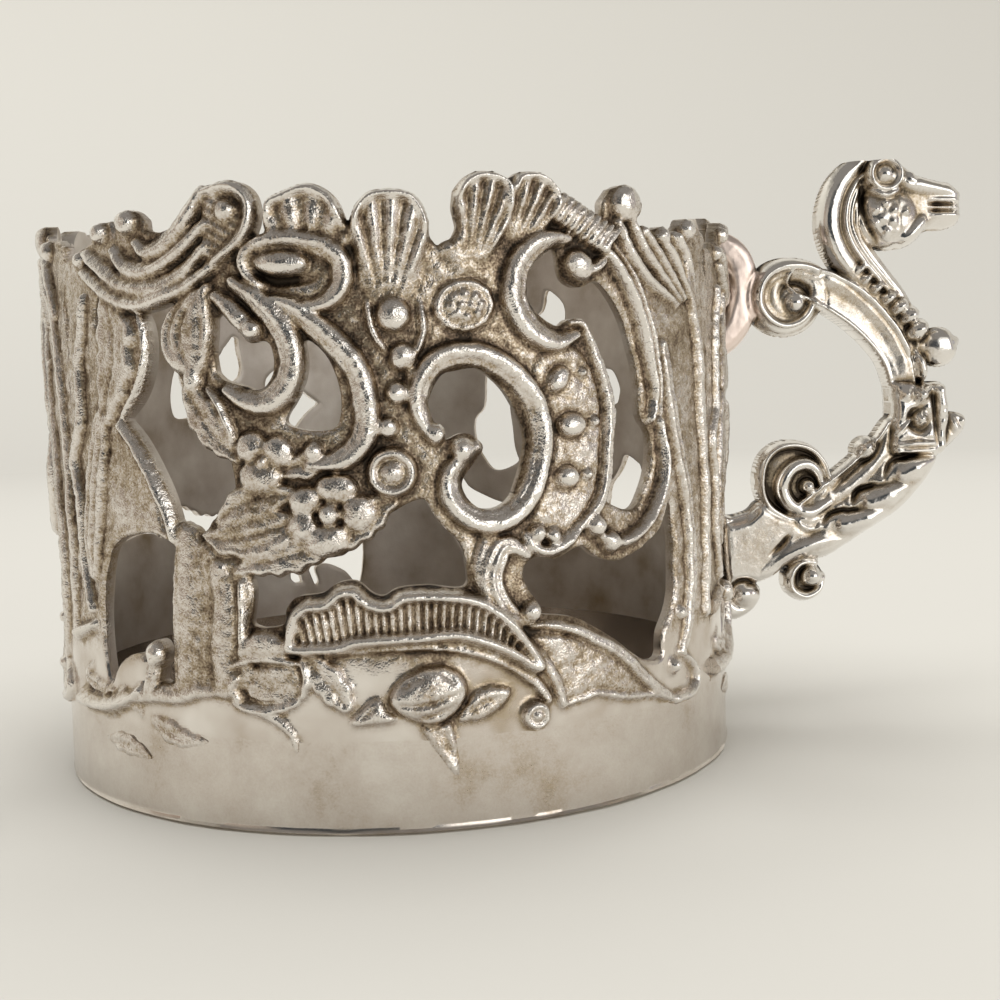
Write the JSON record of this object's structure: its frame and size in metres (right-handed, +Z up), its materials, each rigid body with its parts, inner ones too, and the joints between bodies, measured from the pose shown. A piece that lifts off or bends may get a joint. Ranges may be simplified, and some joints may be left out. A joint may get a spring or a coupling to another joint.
{
  "type": "podstakannik tea glass holder",
  "caption": "Round silver holder that carries a tea glass: plain band, openwork scroll wall and a cast scroll handle with an animal-head thumb rest.",
  "frame": {"origin": "on the axis of the cup, at the underside of the base plate", "axes": "+Z up along the axis of the cup, +X towards the handle, -Y is the side shown in the picture"},
  "size_m": [0.1017, 0.0742, 0.0618],
  "materials": {
    "silver_plain": "polished silver with a warm tarnish",
    "silver_wall": "granular cast silver, yellow-brown in the recesses",
    "silver_ornament": "cast and chased silver, worn bright on the high spots",
    "silver_handle": "cast silver, smooth and worn bright"
  },
  "bodies": {
    "root": {"base_plate": "silver_plain", "base_band": "silver_plain", "front_wall": "silver_wall", "right_wall": "silver_wall", "left_wall": "silver_wall", "crest_fronds": "silver_ornament", "crest_curls": "silver_ornament", "crest_lobes": "silver_ornament", "crest_double_shell": "silver_ornament", "rope_scrolls": "silver_ornament", "spiral_volutes": "silver_ornament", "upper_c_scrolls": "silver_ornament", "s_scrolls": "silver_ornament", "inner_c_scrolls": "silver_ornament", "outer_c_scrolls": "silver_ornament", "large_c_scrolls": "silver_ornament", "dome_columns": "silver_ornament", "cartouches": "silver_ornament", "oval_beads": "silver_ornament", "rosettes": "silver_ornament", "flowers": "silver_ornament", "buds": "silver_ornament", "spray_leaves": "silver_ornament", "side_leaves": "silver_ornament", "pendant_leaves": "silver_ornament", "post_curls": "silver_ornament", "comb_shells": "silver_ornament", "lower_ribs": "silver_ornament", "leaf_panels": "silver_ornament", "edge_columns": "silver_ornament", "band_flowers": "silver_ornament", "corner_scrolls": "silver_ornament", "handle_scroll": "silver_handle", "top_volute": "silver_handle", "inner_volute": "silver_handle", "lower_volute": "silver_handle", "thumb_neck": "silver_handle", "thumb_head": "silver_handle", "neck_beads": "silver_handle", "boss": "silver_handle", "collar": "silver_handle", "spur": "silver_handle", "acanthus_leaf": "silver_handle", "lower_bracket": "silver_handle", "ear_strap": "silver_handle"}
  },
  "joints": []
}
